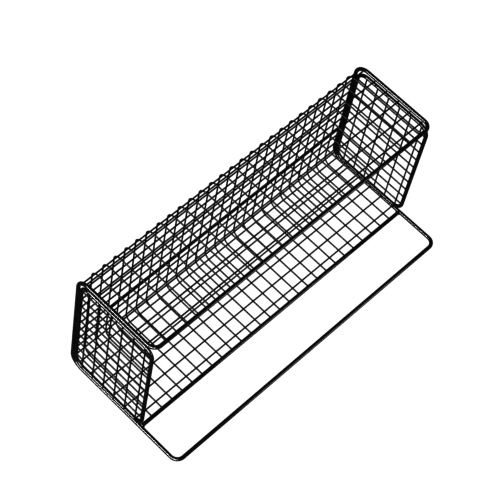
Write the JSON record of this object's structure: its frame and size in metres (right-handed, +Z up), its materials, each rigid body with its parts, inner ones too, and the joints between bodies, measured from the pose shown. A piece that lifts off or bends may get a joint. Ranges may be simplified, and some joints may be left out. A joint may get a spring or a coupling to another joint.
{
  "type": "cable tray",
  "caption": "Long welded wire basket for cables, open along one side, with meshed ends and a flat rectangular wire loop in front of its base panel to hang or clip it by.",
  "frame": {"origin": "Bottom centre of the whole tray, hanging loop included: on the plane that the base legs rest on, midway between the ends and midway between the hanging bar and the back legs.", "axes": "+X along the tray, left end to right end. -Y is the open side and the side of the hanging loop, +Y is the back panel. +Z is up, from the base panel to the top panel."},
  "size_m": [0.6004, 0.2413, 0.2587],
  "materials": {
    "black_coat": "satin black powder coat over steel wire"
  },
  "bodies": {
    "root": {"main_frame": "black_coat", "cross_rod": "black_coat", "cross_wire_01": "black_coat", "cross_wire_02": "black_coat", "cross_wire_03": "black_coat", "cross_wire_04": "black_coat", "cross_wire_05": "black_coat", "cross_wire_06": "black_coat", "cross_wire_07": "black_coat", "cross_wire_08": "black_coat", "cross_wire_09": "black_coat", "cross_wire_10": "black_coat", "cross_wire_11": "black_coat", "cross_wire_12": "black_coat", "cross_wire_13": "black_coat", "cross_wire_14": "black_coat", "cross_wire_15": "black_coat", "cross_wire_16": "black_coat", "cross_wire_17": "black_coat", "cross_wire_18": "black_coat", "cross_wire_19": "black_coat", "cross_wire_20": "black_coat", "cross_wire_21": "black_coat", "cross_wire_22": "black_coat", "cross_wire_23": "black_coat", "cross_wire_24": "black_coat", "cross_wire_25": "black_coat", "cross_wire_26": "black_coat", "top_row_1": "black_coat", "top_row_2": "black_coat", "top_row_3": "black_coat", "top_row_4": "black_coat", "top_row_5": "black_coat", "top_row_6": "black_coat", "bottom_row_1": "black_coat", "bottom_row_2": "black_coat", "bottom_row_3": "black_coat", "bottom_row_4": "black_coat", "bottom_row_5": "black_coat", "bottom_row_6": "black_coat", "back_row_01": "black_coat", "back_row_02": "black_coat", "back_row_03": "black_coat", "back_row_04": "black_coat", "back_row_05": "black_coat", "back_row_06": "black_coat", "back_row_07": "black_coat", "back_row_08": "black_coat", "back_row_09": "black_coat", "back_row_10": "black_coat", "left_end_frame": "black_coat", "left_end_uprights": "black_coat", "left_end_crosswires": "black_coat", "right_end_frame": "black_coat", "right_end_uprights": "black_coat", "right_end_crosswires": "black_coat"}
  },
  "joints": []
}
